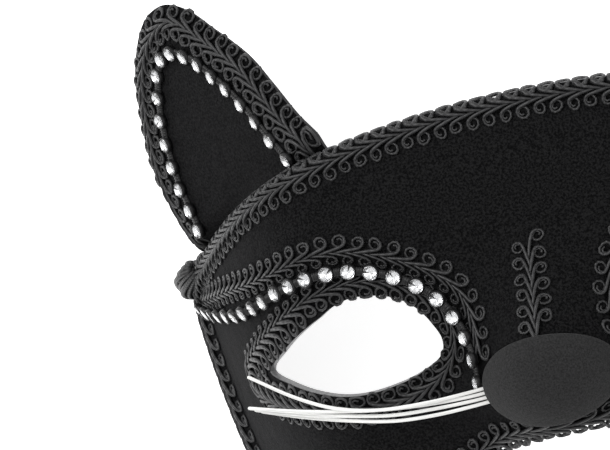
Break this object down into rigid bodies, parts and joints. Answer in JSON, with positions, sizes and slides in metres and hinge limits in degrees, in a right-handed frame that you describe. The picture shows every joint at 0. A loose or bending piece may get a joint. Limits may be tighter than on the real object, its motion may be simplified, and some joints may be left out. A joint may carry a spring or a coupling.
{
  "type": "cat eye mask",
  "caption": "Black velvet cat half mask with pointed ears, almond eye holes, loop braid and rhinestone trim, an oval nose pad and nylon whiskers, lying face up.",
  "frame": {"origin": "middle of the footprint, on the table that the mask lies on", "axes": "+X to the right as the face is looked at, +Y towards the ears, +Z out of the face"},
  "size_m": [0.1858, 0.1274, 0.0728],
  "materials": {
    "velvet": "black crushed velvet",
    "braid": "black rayon loop braid with a soft sheen",
    "rhinestones": "clear faceted stones set in a black plastic band",
    "nose_foam": "matte dark grey felt",
    "whisker_nylon": "translucent white nylon"
  },
  "bodies": {
    "root": {"mask_shell": "velvet", "ear_left": "velvet", "ear_right": "velvet", "edge_braid": "braid", "eye_braid_left": "braid", "eye_braid_right": "braid", "brow_braid_left": "braid", "brow_braid_right": "braid", "bridge_braid": "braid", "ear_braid_left": "braid", "ear_braid_right": "braid", "brow_rhinestones_left": "rhinestones", "brow_rhinestones_right": "rhinestones", "ear_rhinestones_left": "rhinestones", "ear_rhinestones_right": "rhinestones", "nose_pad": "nose_foam", "whisker_left_1": "whisker_nylon", "whisker_left_2": "whisker_nylon", "whisker_left_3": "whisker_nylon", "whisker_left_4": "whisker_nylon", "whisker_right_1": "whisker_nylon", "whisker_right_2": "whisker_nylon", "whisker_right_3": "whisker_nylon", "whisker_right_4": "whisker_nylon"}
  },
  "joints": []
}
